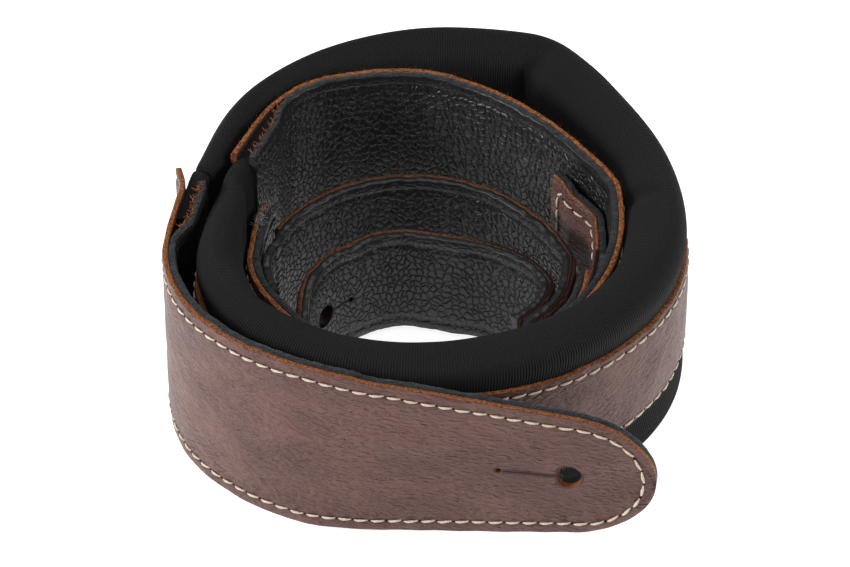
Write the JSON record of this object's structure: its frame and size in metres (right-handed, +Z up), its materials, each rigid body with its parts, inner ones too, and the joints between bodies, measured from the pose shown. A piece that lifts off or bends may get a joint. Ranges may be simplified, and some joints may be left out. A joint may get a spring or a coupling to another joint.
{
  "type": "guitar strap",
  "caption": "Padded leather guitar strap rolled into a standing coil, with a stitched front tab and button hole, a knit pad with a leather strip, and a folded tail.",
  "frame": {"origin": "centre of the coil's bounding box, at floor level", "axes": "+Z up along the coil's axis, -Y towards the outer face of the front tab, +X towards the front tab's tip"},
  "size_m": [0.1702, 0.2034, 0.066],
  "materials": {
    "brown_leather": "smooth brown grain leather with raw orange-brown edges",
    "black_lining": "pebbled black leather with charcoal raw edges",
    "knit": "black ribbed stretch knit",
    "foam": "soft foam, out of sight",
    "thread": "cream thick thread"
  },
  "bodies": {
    "coil": {"end_strap_leather": "brown_leather", "end_strap_lining": "black_lining", "end_strap_thread_lower": "thread", "end_strap_thread_upper": "thread", "keeper_leather": "brown_leather", "keeper_lining": "black_lining", "pad_cover": "knit", "pad_foam": "foam", "pad_strip_leather": "brown_leather", "pad_strip_thread_lower": "thread", "pad_strip_thread_upper": "thread", "rear_leather": "brown_leather", "rear_lining": "black_lining", "rear_thread_lower": "thread", "rear_thread_upper": "thread", "tail_leather": "brown_leather", "tail_lining": "black_lining", "tail_thread_lower": "thread", "tail_thread_upper": "thread"},
    "front_tab": {"front_pad_tongue": "knit", "front_tab_leather": "brown_leather", "front_tab_lining": "black_lining", "front_tab_thread": "thread"},
    "tail_end": {"tail_end_leather": "brown_leather", "tail_end_lining": "black_lining", "tail_end_thread": "thread"},
    "end_tab": {"end_tab_leather": "brown_leather", "end_tab_lining": "black_lining", "end_tab_thread": "thread"}
  },
  "joints": [
    {"name": "front_tab_flex", "type": "hinge", "parent": "coil", "child": "front_tab", "pos_m": [-0.07842, 0.00989, 0.033], "axis": [0, 0, -1], "range_deg": [0, 30], "stiffness_Nm_per_rad": 0.02},
    {"name": "tail_end_flex", "type": "hinge", "parent": "coil", "child": "tail_end", "pos_m": [0.05357, -0.00666, 0.03], "axis": [0, 0, 1], "range_deg": [0, 5], "stiffness_Nm_per_rad": 0.01},
    {"name": "end_tab_flex", "type": "hinge", "parent": "coil", "child": "end_tab", "pos_m": [-0.02048, 0.00733, 0.02], "axis": [0, 0, 1], "range_deg": [0, 20], "stiffness_Nm_per_rad": 0.01}
  ]
}
